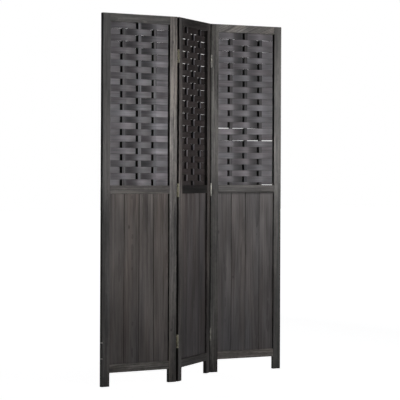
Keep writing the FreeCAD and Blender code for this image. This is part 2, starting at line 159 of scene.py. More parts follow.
def setBump(tree, shader, height, strength, depth):
    bump = put(tree, "Bump", {"Height": height, "Strength": strength, "Distance": depth})
    tree.links.new(bump.outputs[0], shader.inputs["Normal"])


def shade(colour, amount):
    return tuple(channel * amount for channel in colour)


# stained wood of the frame, planks and slats
woodLooks = {
    "stile": {"pore": (0.013, 0.0124, 0.0117), "body": (0.046, 0.044, 0.041), "worn": (0.104, 0.099, 0.091),
              "ring": 0.0058, "rough": (0.44, 0.62), "gloss": 0.16, "wear": 0.5, "streak": 0.42, "speck": 0.26},
    "rail": {"pore": (0.012, 0.0115, 0.011), "body": (0.041, 0.0385, 0.036), "worn": (0.105, 0.099, 0.091),
             "ring": 0.0062, "rough": (0.46, 0.64), "gloss": 0.14, "wear": 0.5, "streak": 0.42, "speck": 0.24},
    "plank": {"pore": (0.034, 0.031, 0.029), "body": (0.069, 0.063, 0.060), "worn": (0.112, 0.103, 0.098),
              "ring": 0.0085, "rough": (0.50, 0.68), "gloss": 0.12, "wear": 0.35, "streak": 0.30, "speck": 0.0},
    "slat": {"pore": (0.018, 0.018, 0.019), "body": (0.038, 0.038, 0.040), "worn": (0.066, 0.066, 0.069),
             "ring": 0.0050, "rough": (0.48, 0.62), "gloss": 0.04, "wear": 0.4, "streak": 0.42, "speck": 0.0},
    "dowel": {"pore": (0.30, 0.21, 0.12), "body": (0.42, 0.30, 0.18), "worn": (0.52, 0.39, 0.25),
              "ring": 0.0040, "rough": (0.55, 0.72), "gloss": 0.20, "wear": 0.1, "streak": 0.42, "speck": 0.0},
}

# patterns in the wood: stretch over width, depth and grain, then detail and roughness
woodPatterns = {
    "fibre": ((620, 620, 9), 3, 0.62),
    "streak": ((105, 105, 4.2), 2, 0.55),
    "dash": ((210, 210, 13), 2, 0.5),
    "patch": ((24, 24, 3.0), 2, 0.5),
    "speck": ((95, 95, 50), 2, 0.6),
    "warmth": ((13, 13, 2.0), 2, 0.5),
    "rub": ((60, 60, 30), 3, 0.6),
}

woodFigure = {
    "shift": 7,                                  # each piece is cut from another place
    "wander": ((9, 9, 2.2), 2, 0.5), "bend": (0.014, 0.014, 0),
    "heartAside": 0.03, "heartDepth": (0.02, 0.06), "heartAlong": 0.3, "heartLean": 0.8,  # metres, degrees
    "ringWobble": {"Distortion": 1.6, "Detail": 2.0, "Detail Scale": 0.6}, "lateWood": (0.45, 0.95),
    "knotCells": (11, 11, 6.5), "knotSize": (0.17, 0.06), "knotPick": 0.86,
    "base": 0.085, "fibre": 0.30, "patch": 0.62, "late": -0.12, "knot": -0.34,  # shares in the stain
    "stops": (0.30, 0.50, 0.70),
    "warmth": [(0.32, (0.93, 0.98, 1.04)), (0.50, (1, 1, 1)), (0.68, (1.10, 0.99, 0.92))], "warmthShare": 0.55,
    "rubReach": (0.0022, 0.0002), "rubPick": (0.46, 0.66), "rubLift": 1.5,
    "darkLineCore": 0.4,                             # share of a dark line that is fully dark
    "spotEdge": (1.0, 0.35), "knotDepth": 0.62, "knotShade": 0.3, "scuffColour": (0.42, 0.40, 0.37, 1),
    "roughSpan": (0.3, 0.7), "bumpStrength": 0.35, "bumpDepth": 0.0006,
}

# how light each piece is: its own stain together with painted light and shade; the middle panel's pale slats are
# painted glints
stainAndLightTone = {
    "left_panel_left_stile": 0.37, "left_panel_right_stile": 1.5,
    "left_panel_top_rail": 0.69, "left_panel_middle_rail": 0.66, "left_panel_bottom_rail": 1.72,
    "left_panel_slat_1": 1.3, "left_panel_slat_2": 2.1, "left_panel_slat_3": 1.8,
    "left_panel_plank_1": 0.90, "left_panel_plank_4": 1.16,
    "middle_panel_left_stile": 1.38, "middle_panel_right_stile": 1.5,
    "middle_panel_top_rail": 0.55, "middle_panel_middle_rail": 0.18,
    "middle_panel_slat_1": 3.5, "middle_panel_slat_2": 3.5, "middle_panel_slat_3": 3.1,
    "middle_panel_plank_1": 1.02, "middle_panel_plank_2": 1.05, "middle_panel_plank_3": 1.08,
    "middle_panel_plank_4": 1.05,
    "right_panel_left_stile": 1.0, "right_panel_right_stile": 0.76,
    "right_panel_top_rail": 1.35, "right_panel_middle_rail": 0.40, "right_panel_bottom_rail": 2.25,
    "right_panel_slat_1": 0.65, "right_panel_slat_2": 0.65, "right_panel_slat_3": 0.65,
    "right_panel_plank_1": 0.95, "right_panel_plank_3": 0.91, "right_panel_plank_4": 0.95,
}

# how warm it is, by the start of a piece's name
stainTint = {
    "left_panel_plank": (1.03, 0.98, 0.95), "left_panel_left": (0.99, 0.98, 1.02),
    "left_panel_right": (1.03, 0.98, 0.965), "left_panel_middle": (1.03, 0.98, 0.96),
    "middle_panel_plank": (1.0, 0.98, 1.02), "right_panel_plank": (0.985, 0.985, 1.015),
    "middle_panel": (1.03, 0.975, 0.995),
}

# painted light and shade along a piece: metres above the floor, tone
heightLightAndShade = {
    "left_panel_left_stile": [(0.15, 2.0), (0.60, 1.38), (1.08, 0.72), (1.40, 1.08), (1.54, 0.95), (1.64, 0.58)],
    "left_panel_right_stile": [(0.05, 0.62), (0.25, 0.43), (0.65, 0.64), (0.81, 0.95), (0.91, 0.60), (1.10, 1.35),
                               (1.50, 0.68)],
    "middle_panel_left_stile": [(0.05, 0.33), (0.20, 0.44), (0.70, 0.87), (1.15, 0.99), (1.50, 0.61)],
    "middle_panel_right_stile": [(0.20, 0.70), (0.75, 0.82), (0.84, 0.40), (0.92, 0.34), (1.14, 0.80), (1.45, 0.70)],
    "right_panel_left_stile": [(0.20, 1.20), (0.45, 0.68), (0.70, 0.92), (0.84, 0.48), (0.91, 0.22), (1.04, 0.68),
                               (1.20, 0.97)],
    "right_panel_right_stile": [(0.20, 0.63), (0.75, 0.95), (0.92, 0.70), (1.02, 0.96), (1.26, 1.0), (1.44, 0.58)],
}
for number in (1, 2, 3):
    heightLightAndShade[f"middle_panel_slat_{number}"] = [(0.95, 1.15), (1.25, 1.2), (1.60, 1.0)]

# planks greyer towards the floor, with painted shadow under the middle rail: metres above the floor, tint
plankTintAndShade = {
    "left": [(0.20, (0.955, 0.985, 1.03)), (0.55, (1, 1, 1)), (0.74, (1, 1, 1)), (0.86, (0.90, 0.90, 0.90))],
    "middle": [(0.20, (0.95, 0.98, 1.01)), (0.50, (0.93, 0.94, 0.95)), (0.86, (1.02, 1.02, 1.02))],
    "right": [(0.20, (0.955, 0.985, 1.03)), (0.55, (1, 1, 1)), (0.74, (1, 1, 1)), (0.866, (0.66, 0.66, 0.66)),
              (0.872, (0.20, 0.20, 0.20))],
}

# knots, dark, and scuffs, pale: metres across the panel and above the floor, half width, half height
knots = {
    "left_panel_right_stile": [(0.1756, 1.581, 0.007, 0.012), (0.172, 0.242, 0.008, 0.008)],
    "left_panel_plank_2": [(-0.0535, 0.724, 0.007, 0.014)],
    "right_panel_left_stile": [(-0.188, 0.880, 0.010, 0.022)],
    "right_panel_plank_1": [(-0.152, 0.684, 0.009, 0.013)],
    "right_panel_plank_2": [(-0.0686, 0.462, 0.006, 0.010)],
}
scuffs = {"left_panel_left_stile": [(-0.1985, 0.201, 0.0035, 0.005), (-0.1985, 0.128, 0.0035, 0.005)]}

# pieces whose grain runs out at an angle, in degrees, and pieces duller than their kind
grainSlant = {"right_panel_top_rail": 24}
dullGloss = {"right_panel_left_stile": 0.07}

# painted shade along edges, in recesses, at the folds and under a rail: side of the piece, reach and depth; a rail's
# far side is its underside
edgeShade = {
    "left_panel_right_stile": [(-1, 0.0014, 1.0), (1, 0.0022, 0.8)],
    "middle_panel_left_stile": [(-1, 0.0012, 0.35), (1, 0.008, 0.6)],
    "middle_panel_right_stile": [(1, 0.015, 0.8)],
    "right_panel_right_stile": [(-1, 0.0012, 0.8)],
    "right_panel_middle_rail": [(1, 0.011, 0.66)],
}
# painted shade on the sides of the slats, and over the left part of the middle panel's slats
slatShade = {
    "left": [(-1, 0.0015, 1.0), (1, 0.0015, 1.0)],
    "middle": [(-1, 0.011, 0.80)],
    "right": [(-1, 0.0015, 1.0), (1, 0.0015, 1.0)],
}

# darker lines in the seams between planks, and painted shade beside the last plank
seamsAndShade = {"inset": 0.004, "reach": 0.0022, "depth": {"left": 0.6, "middle": 0.6, "right": 0.12},
            "lastInset": 0.005, "lastReach": 0.004, "lastDepth": 0.5}

# darker stripes along single planks: x on the plank, reach and depth; the first plank's stripe is painted shade beside
# the left stile
plankStripes = {"left_panel_plank_1": [(-0.040, 0.022, 0.40)], "left_panel_plank_3": [(0.0025, 0.006, 0.22)],
                "right_panel_plank_1": [(-0.012, 0.009, 0.22)]}


def shadeAndSeamLines(node, kind, panel, half):
    # x on the piece, reach and depth of each dark line: painted shade, and darker seams
    if kind != "plank":
        edges = slatShade[panel] if kind == "slat" else edgeShade.get(node, [])
        return [(side * half[0], reach, depth) for side, reach, depth in edges]
    seam, depth = seamsAndShade["reach"], seamsAndShade["depth"][panel]
    lines = [] if node.endswith("1") else [(-half[0], seam, depth)]
    if node.endswith("4"):
        lines.append((half[0] - seamsAndShade["lastInset"], seamsAndShade["lastReach"], seamsAndShade["lastDepth"]))
    else:
        lines.append((half[0] - seamsAndShade["inset"], seam, depth))
    return lines + plankStripes.get(node, [])


def spots(tree, sides, places, middle):
    # one where a spot is, nothing elsewhere
    total = 0.0
    for across, level, wide, tall in places:
        x = calc(tree, "DIVIDE", calc(tree, "SUBTRACT", sides[0], across - middle.x), wide)
        z = calc(tree, "DIVIDE", calc(tree, "SUBTRACT", sides[2], level - middle.z), tall)
        away = calc(tree, "SQRT", calc(tree, "ADD", calc(tree, "MULTIPLY", x, x), calc(tree, "MULTIPLY", z, z)))
        total = calc(tree, "MAXIMUM", ease(tree, away, *woodFigure["spotEdge"]), total)
    return total


def stainedWood(name, look, fit, stainAndShade, seed):
    material, tree, shader = newMaterial(name)
    draw = random.Random(seed)
    figure, half = woodFigure, fit["half"]
    place = put(tree, "TexCoord").outputs["Object"]
    piece = put(tree, "Mapping", {"Vector": place, "Location": fit["middle"],
                                  "Rotation": (0, 0 if fit["grainUp"] else math.pi / 2, fit["turn"])},
                vector_type="TEXTURE").outputs[0]  # x over the width, z along the grain
    grain = put(tree, "Mapping", {"Vector": piece, "Rotation": (0, math.radians(stainAndShade["slant"]), 0)}).outputs[0]
    moved = vectors(tree, "ADD", grain, [draw.uniform(-figure["shift"], figure["shift"]) for _ in range(3)])
    pattern = patterns(tree, moved, woodPatterns)

    # growth rings round a heart that lies off the face and wanders along the length
    wander = vectors(tree, "SUBTRACT", noise(tree, moved, *figure["wander"]).outputs["Color"], (0.5, 0.5, 0.5))
    bent = vectors(tree, "ADD", vectors(tree, "MULTIPLY", wander, figure["bend"]), grain)
    aside, along, lean = figure["heartAside"], figure["heartAlong"], figure["heartLean"]
    heart = (draw.uniform(-aside, aside), draw.choice((-1, 1)) * draw.uniform(*figure["heartDepth"]),
             draw.uniform(-along, along))
    tilt = [math.radians(draw.uniform(-lean, lean)) for _ in range(2)]
    ringPlace = put(tree, "Mapping", {"Vector": bent, "Location": heart, "Rotation": (*tilt, 0)}).outputs[0]
    rings = put(tree, "TexWave", {"Vector": ringPlace, "Scale": math.pi / (10 * look["ring"]), **figure["ringWobble"]},
                wave_type="RINGS", rings_direction="Z", wave_profile="SAW").outputs["Fac"]
    late = ease(tree, rings, *figure["lateWood"])

    # a few small knots
    cells = put(tree, "TexVoronoi", {"Vector": vectors(tree, "MULTIPLY", bent, figure["knotCells"]), "Scale": 1.0},
                feature="F1")
    pick = put(tree, "SeparateColor", {"Color": cells.outputs["Color"]}).outputs[0]
    knot = calc(tree, "MULTIPLY", ease(tree, cells.outputs["Distance"], *figure["knotSize"]),
                calc(tree, "GREATER_THAN", pick, figure["knotPick"]))

    # streaks, dashes and specks average a half, so their shares leave the mean alone
    streak, dash, speck = look["streak"], look["streak"] / 2, look["speck"]
    amount = weigh(tree, figure["base"] - (streak + dash + speck) / 2, (
        (pattern["fibre"], figure["fibre"]), (pattern["streak"], streak), (pattern["dash"], dash),
        (pattern["patch"], figure["patch"]), (late, figure["late"]), (pattern["speck"], speck),
        (knot, figure["knot"])))
    pore, body, worn = ([stainAndShade["tone"] * c * t for c, t in zip(look[part], stainAndShade["tint"])]
                        for part in ("pore", "body", "worn"))
    colour = ramp(tree, amount, list(zip(figure["stops"], (pore, body, worn))))
    colour = blend(tree, figure["warmthShare"], colour, ramp(tree, pattern["warmth"], figure["warmth"]), "MULTIPLY")

    # rubbed edges, from the distance to the second nearest face
    sides = put(tree, "SeparateXYZ", {"Vector": piece}).outputs
    room = [calc(tree, "SUBTRACT", size, calc(tree, "ABSOLUTE", side)) for size, side in zip(half, sides)]
    near, far = calc(tree, "MINIMUM", room[0], room[1]), calc(tree, "MAXIMUM", room[0], room[1])
    second = calc(tree, "MAXIMUM", near, calc(tree, "MINIMUM", far, room[2]))
    rub = calc(tree, "MULTIPLY", ease(tree, second, *figure["rubReach"]),
               ease(tree, pattern["rub"], *figure["rubPick"]))
    colour = blend(tree, calc(tree, "MULTIPLY", rub, look["wear"]), colour, (*shade(worn, figure["rubLift"]), 1))

    # painted light and shade along the length; on the planks also greyer towards the floor
    if stainAndShade["levels"]:
        low, tall = fit["seat"].z - half[2], 2 * half[2]
        level = put(tree, "MapRange", {"Value": sides[2], "From Min": -half[2], "From Max": half[2]}).outputs[0]
        stops = [((height - low) / tall, share) for height, share in stainAndShade["levels"]]
        colour = blend(tree, 1.0, colour, ramp(tree, level, stops), "MULTIPLY")

    # painted shade in recesses and darker seams, then knots and scuffs
    bare = 1.0
    for spot, reach, depth in stainAndShade["darkLines"]:
        away = calc(tree, "ABSOLUTE", calc(tree, "SUBTRACT", sides[0], spot))
        hidden = ease(tree, away, reach, reach * figure["darkLineCore"], 0.0, depth)
        colour = blend(tree, hidden, colour, black)
        bare = calc(tree, "MULTIPLY", calc(tree, "SUBTRACT", 1.0, hidden), bare)
    if stainAndShade["knots"]:
        dark = calc(tree, "MULTIPLY", spots(tree, sides, stainAndShade["knots"], fit["seat"]), figure["knotDepth"])
        colour = blend(tree, dark, colour, (*shade(pore, figure["knotShade"]), 1))
    if stainAndShade["scuffs"]:
        colour = blend(tree, spots(tree, sides, stainAndShade["scuffs"], fit["seat"]), colour, figure["scuffColour"])
    tree.links.new(colour, shader.inputs["Base Color"])
    if stainAndShade["darkLines"]:  # a black metal takes no shine, so the painted shade stays dark
        tree.links.new(calc(tree, "SUBTRACT", 1.0, bare), shader.inputs["Metallic"])

    shader.inputs["Specular IOR Level"].default_value = look["gloss"]
    smooth = weigh(tree, 0.0, ((pattern["fibre"], 0.5), (pattern["patch"], 0.5)))
    setRough(tree, shader, smooth, figure["roughSpan"], look["rough"])
    height = weigh(tree, 0.0, ((pattern["fibre"], 0.6), (late, -0.35), (knot, -0.3)))
    setBump(tree, shader, height, figure["bumpStrength"], figure["bumpDepth"])
    return material


def dressNode(node, material):
    piece = nodes[node]
    if not piece.material_slots:
        piece.data.materials.append(material)
    for slot in piece.material_slots:
        slot.material = material


def pieceKind(node):
    return next((word for word in woodLooks if word in node), None)


def dressWood(node, kind, seed):
    panel = node.split("_")[0]
    outward = panelMatrix(panel)
    inward = outward.inverted()
    corners = [inward @ vert.co for vert in nodes[node].data.vertices]
    lowest = [min(corner[i] for corner in corners) for i in range(3)]
    highest = [max(corner[i] for corner in corners) for i in range(3)]
    half = [(high - low) / 2 for low, high in zip(lowest, highest)]
    seat = Vector([(low + high) / 2 for low, high in zip(lowest, highest)])
    grainUp = kind not in ("rail", "dowel")
    if not grainUp:
        half.reverse()
    fit = {"middle": outward @ seat, "turn": panelPlace(panel)[1], "grainUp": grainUp, "half": half, "seat": seat}
    # painted light and shade along the height; the planks also greyer towards the floor
    levels = plankTintAndShade[panel] if kind == "plank" else [(z, (share,) * 3) for z, share in heightLightAndShade.get(node, [])]
    # the piece's stain, with its painted light and shade along the height and in dark lines
    stainAndShade = {"tone": stainAndLightTone.get(node, 1.0), "slant": grainSlant.get(node, 0), "levels": levels,
             "tint": next((tint for start, tint in stainTint.items() if node.startswith(start)), (1, 1, 1)),
             "darkLines": shadeAndSeamLines(node, kind, panel, half), "knots": knots.get(node), "scuffs": scuffs.get(node)}
    look = dict(woodLooks[kind], gloss=dullGloss.get(node, woodLooks[kind]["gloss"]))
    dressNode(node, stainedWood("wood_" + node, look, fit, stainAndShade, seed))


woodCount = 0
firstWoodSeed = 100
for number, node in enumerate(sorted(nodes)):
    kind = pieceKind(node)
    if kind:
        dressWood(node, kind, firstWoodSeed + number)
        woodCount += 1
print("stained wood on", woodCount, "nodes")


# dull plated metal of the hinges and screws
metalLooks = {
    "brass": {"clean": (0.45, 0.435, 0.37), "dull": (0.24, 0.23, 0.185), "spot": (0.07, 0.066, 0.055),
              "rough": (0.36, 0.58)},
    # a lighter copy of the brass is a painted highlight for the lit front of the left inner leaves; the pale one is a
    # darker, greyer copy for the right fold's hinges, painted for how light falls there
    "bright": {"clean": (0.64, 0.62, 0.52), "dull": (0.43, 0.415, 0.335), "spot": (0.14, 0.135, 0.11),
               "rough": (0.36, 0.58)},
    "pale": {"clean": (0.26, 0.255, 0.235), "dull": (0.17, 0.165, 0.147), "spot": (0.062, 0.059, 0.053),
             "rough": (0.36, 0.58)},
    "screw": {"clean": (0.42, 0.40, 0.34), "dull": (0.22, 0.205, 0.17), "spot": (0.07, 0.065, 0.055),
              "rough": (0.34, 0.55)},
}

metalPatterns = {"cloud": ((90, 90, 90), 4, 0.6), "fine": ((900, 900, 900), 2, 0.5),
                 "brushed": ((2200, 2200, 60), 2, 0.5)}

metalFinish = {"cloud": 0.75, "fine": 0.25, "stops": (0.30, 0.46, 0.66), "metallic": 0.85,
               "roughSpan": (0.35, 0.65), "bumpStrength": 0.18, "bumpDepth": 0.0002,
               "stainAndShade": (0.012, 0.011, 0.009, 1), "leafDarkCore": 0.6, "leafDarkDepth": 0.95}

# wood stain on the outer leaf's front edge, and painted shade on the inner leaf deep in the fold: place through the
# panel, reach
leafStainAndShade = {"outer": {"panel": "left", "through": -0.009, "reach": 0.0014},
             "inner": {"panel": "middle", "through": 0.0035, "reach": 0.0052}}


def agedMetal(name, look, darkEdge=None):
    material, tree, shader = newMaterial(name)
    finish = metalFinish
    pattern = patterns(tree, put(tree, "TexCoord").outputs["Object"], metalPatterns)
    amount = weigh(tree, 0.0, ((pattern["cloud"], finish["cloud"]), (pattern["fine"], finish["fine"])))
    colour = ramp(tree, amount, list(zip(finish["stops"], (look["spot"], look["dull"], look["clean"]))))
    # stain on the outer leaf's front edge, painted shade deep in the fold on the inner leaf
    if darkEdge:
        through = put(tree, "SeparateXYZ", {"Vector": panelSpace(tree, darkEdge["panel"])}).outputs[1]
        away = calc(tree, "ABSOLUTE", calc(tree, "SUBTRACT", through, darkEdge["through"]))
        hidden = ease(tree, away, darkEdge["reach"], darkEdge["reach"] * finish["leafDarkCore"], 0.0, finish["leafDarkDepth"])
        colour = blend(tree, hidden, colour, finish["stainAndShade"])
    tree.links.new(colour, shader.inputs["Base Color"])
    shader.inputs["Metallic"].default_value = finish["metallic"]
    setRough(tree, shader, pattern["cloud"], finish["roughSpan"], look["rough"])
    setBump(tree, shader, calc(tree, "ADD", pattern["fine"], pattern["brushed"]), finish["bumpStrength"],
            finish["bumpDepth"])
    return material


# the left inner leaves take the lit copy of the brass, a painted highlight; the right fold's hinges take the shaded
# copy
hingeBrass = {"left_pins": agedMetal("hinge_brass_aged", metalLooks["brass"]),
              "left_outer": agedMetal("hinge_brass_stained", metalLooks["brass"], leafStainAndShade["outer"]),
              "left_inner": agedMetal("hinge_brass_bright", metalLooks["bright"], leafStainAndShade["inner"]),
              "right": agedMetal("hinge_brass_shaded_copy", metalLooks["pale"])}
screwPlate = agedMetal("screw_plate_aged", metalLooks["screw"])
for node in nodes:
    if "screws" in node:
        dressNode(node, screwPlate)
    elif "hinge" in node:
        part = next(word for word in ("outer", "inner", "pins") if word in node)
        dressNode(node, hingeBrass["right" if node.startswith("right") else "left_" + part])
print("metal on the hinges, pins and screws")


# flat splints woven round the slats
splintShape = {
    "rows": 26,
    "thickness": 0.0015,
    "gap": 0.00003,       # between neighbouring rows
    "reach": 0.164,       # half length, ends in the stile grooves
    "swing": 0.00505,     # stand-off at a slat
    "flat": 0.009,        # half of the straight run over a slat
    "endRun": 0.005,      # straight end in the groove
    "bends": 8,           # steps from slat to slat
    "straight": 0.5,      # share of a straight slope in them
    "cup": 0.00005,       # hollow over the height
    "cupSteps": ((0.1, 0.25), (0.35, 0.75)),  # share of the height, share of the hollow
    "edgeRound": 0.0005,
    "ripple": 0.00025, "rippleSize": 0.07,
    "tightRun": 0.014,    # a slack row stays tight this near the middle between two slats
    "springRun": 0.004,   # a sprung end rises over this length
    "shadeReach": 0.011,    # painted shade beside a slat
    "shadeRight": 0.4,      # and its share on the slat's right
    "sideSlope": 0.15,    # slope that counts as facing right or left
    "crest": 0.0045,      # stand-off that counts as a crest
    "smoothAngle": 15,
}

weavePlans = {
    "left": {
        "seed": 31, "firstBehind": 0,         # whether the first row runs behind the outer slats
        "slack": 0.0011, "slackRows": 8,      # first splint narrower beside the slats, row where that ends
        "stretch": 1.0, "firstExtra": 0.0,    # splints against the even pitch, so that the last row is cut short
        "slipped": {},                        # row: opening above its left and right end
        "sprung": 0.0,                        # lift of the last row's right end
        "shadeEnd": 0.006, "shadeBoth": False,    # painted shade at the right stile or at both
        "lightRight": -0.34, "lightLeft": -0.52, "lightCrest": 0.24,  # painted light and shade by the way that a splint faces
        "lightEnds": ((1.0, 1.32), (1.0, 1.32)),  # painted light and shade at the left and right end, before and behind the outer slats
    },
    "middle": {
        "seed": 32, "firstBehind": 1,
        "slack": 0.0021, "slackRows": 45,
        "stretch": 1.011, "firstExtra": 0.0,
        "slipped": {},
        "sprung": 0.0,
        "shadeEnd": 0.030, "shadeBoth": True,
        "lightRight": 0.0, "lightLeft": 0.0, "lightCrest": 0.0,
        "lightEnds": ((1.0, 1.0), (1.0, 1.0)),
    },
    "right": {
        "seed": 33, "firstBehind": 0,
        "slack": 0.0011, "slackRows": 15,
        "stretch": 1.008, "firstExtra": 0.0040,
        "slipped": {16: (0.0044, 0.0), 18: (0.0008, 0.0046), 19: (0.0, 0.0006)},
        "sprung": 0.0024,
        "shadeEnd": 0.006, "shadeBoth": False,
        "lightRight": -0.82, "lightLeft": -0.16, "lightCrest": 0.20,
        "lightEnds": ((0.97, 1.04), (1.28, 1.04)),
    },
}


def splintLine(shape, slatMiddles, shadeEnd):
    # x and y along a splint that passes in front of the outer slats
    stops = [(-shape["reach"] + shape["endRun"], 0.0)]
    side = -1
    for spot in slatMiddles:
        stops += [(spot - shape["flat"], side * shape["swing"]), (spot + shape["flat"], side * shape["swing"])]
        side = -side
    stops.append((shape["reach"] - shape["endRun"], 0.0))
    turn = shape["reach"] - shape["endRun"] - shadeEnd
    line = [(-shape["reach"], 0.0), stops[0]]
    for (xa, ya), (xb, yb) in zip(stops, stops[1:]):
        steps = 2 if ya == yb else shape["bends"]
        for k in range(1, steps + 1):
            t = k / steps
            eased = shape["straight"] * t + (1 - shape["straight"]) * t * t * (3 - 2 * t)
            line.append((xa + (xb - xa) * t, ya + (yb - ya) * eased))
    line.append((shape["reach"], 0.0))
    for spot in (turn, -turn):  # a point where the painted shade at the ends starts
        after = next(k for k, (x, y) in enumerate(line) if x > spot)
        (xa, ya), (xb, yb) = line[after - 1], line[after]
        line.insert(after, (spot, ya + (yb - ya) * (spot - xa) / (xb - xa)))
    return line


def pickVerts(piece, test):
    mesh = bmesh.from_edit_mesh(piece.data)
    for vert in mesh.verts:
        vert.select_set(bool(test(vert.co)))
    mesh.select_flush(True)
    bmesh.update_edit_mesh(piece.data)


def applyAll(piece):
    for modifier in list(piece.modifiers):
        bpy.ops.object.modifier_apply(modifier=modifier.name)


def modelSplint(shape, line, height):
    bpy.ops.object.select_all(action="DESELECT")
    start, firstStep = line[0][0], line[1][0] - line[0][0]
    bpy.ops.mesh.primitive_grid_add(x_subdivisions=1, y_subdivisions=4, size=1, rotation=(math.pi / 2, 0, 0))
    splint = bpy.context.object
    bpy.ops.object.transform_apply(location=True, rotation=True, scale=True)
    bpy.ops.object.mode_set(mode="EDIT")
    bpy.ops.mesh.select_all(action="SELECT")
    bpy.ops.transform.resize(value=(firstStep, 1, height))
    bpy.ops.transform.translate(value=(start + firstStep / 2, 0, 0))
    pickVerts(splint, lambda co: co.x > start + firstStep / 2)
    for (xa, ya), (xb, yb) in zip(line[1:], line[2:]):
        bpy.ops.mesh.extrude_region_move(TRANSFORM_OT_translate={"value": (xb - xa, yb - ya, 0)})
    for share, lift in shape["cupSteps"]:
        pickVerts(splint, lambda co: abs(co.z) < height * share)
        bpy.ops.transform.translate(value=(0, -shape["cup"] * lift, 0))
    bpy.ops.mesh.select_all(action="SELECT")
    bpy.ops.mesh.normals_make_consistent(inside=False)
    bpy.ops.object.mode_set(mode="OBJECT")
    solid = splint.modifiers.new("thickness", "SOLIDIFY")
    solid.thickness, solid.offset = shape["thickness"], 0.0
    rounded = splint.modifiers.new("rounded", "BEVEL")
    rounded.width, rounded.segments = shape["edgeRound"], 2
    rounded.limit_method, rounded.angle_limit = "ANGLE", math.radians(50)
    applyAll(splint)
    return splint


def springUp(piece, plan, shape, slats):
    outer = slats[2].x + shape["flat"]
    for vert in piece.data.vertices:
        if vert.co.z < 0:
            vert.co.z += plan["sprung"] * clip((vert.co.x - outer) / shape["springRun"])


def rowEdges(plan, shape, floor, ceiling):
    # left and right level of each row's upper edge, and its height
    pitch = (ceiling - floor) / shape["rows"]
    height = pitch * plan["stretch"] - shape["gap"]
    left = right = ceiling - shape["gap"] / 2
    rows = []
    for row in range(shape["rows"]):
        dropLeft, dropRight = plan["slipped"].get(row, (0.0, 0.0))
        left, right = left - dropLeft, right - dropRight
        tall = height + (plan["firstExtra"] if row == 0 else 0.0)
        tall = min(tall, min(left, right) - floor - shape["gap"])
        rows.append((left, right, tall))
        left, right = left - tall - shape["gap"], right - tall - shape["gap"]
    return rows


def slacken(piece, plan, shape, row, slats):
    less = plan["slack"] * max(0.0, 1 - row / plan["slackRows"])
    tall = max(vert.co.z for vert in piece.data.vertices)
    between = [(slats[0].x + slats[1].x) / 2, (slats[1].x + slats[2].x) / 2]
    for vert in piece.data.vertices:
        tight = sum(math.exp(-((vert.co.x - spot) / shape["tightRun"]) ** 2) for spot in between)
        vert.co.z *= 1 - less * (1 - tight) / (2 * tall)


def inCorner(x, plan, shape, slats, behindOuter):
    # painted shade: one at the edge of a slat that the splint passes behind and at a stile, nothing further off
    shaded = slats[::2] if behindOuter else slats[1:2]
    beside = max(max(0.0, 1 - max(0.0, abs(x - spot.x) - shape["flat"]) / shape["shadeReach"])
                 * (1.0 if x < spot.x else shape["shadeRight"]) for spot in shaded)
    toStile = shape["reach"] - shape["endRun"] - (abs(x) if plan["shadeBoth"] else x)
    return max(beside, clip(1 - toStile / plan["shadeEnd"]))


def slopeLightAndShade(vert, plan, shape, slats, behindOuter):
    # painted light and shade on a splint's front by the way it faces, worked out before the splint is turned round
    way = -1 if behindOuter else 1
    if way * vert.normal.y > 0:
        return 1.0
    ends, outer = plan["lightEnds"][behindOuter], slats[2].x + shape["flat"]
    across = way * vert.co.x
    end = ends[0] if across < -outer else ends[1] if across > outer else 1.0
    side = clip(way * vert.normal.x / shape["sideSlope"], -1.0, 1.0)
    crest = clip(-way * vert.co.y / shape["crest"])
    return end * (1 + plan["lightRight"] * max(0.0, side) + plan["lightLeft"] * max(0.0, -side)
                  + plan["lightCrest"] * crest)


def mark(piece, name, value):
    # one number for each point, from a function of the point
    values = [value(vert) for vert in piece.data.vertices]
    piece.data.attributes.new(name, "FLOAT", "POINT").data.foreach_set("value", values)


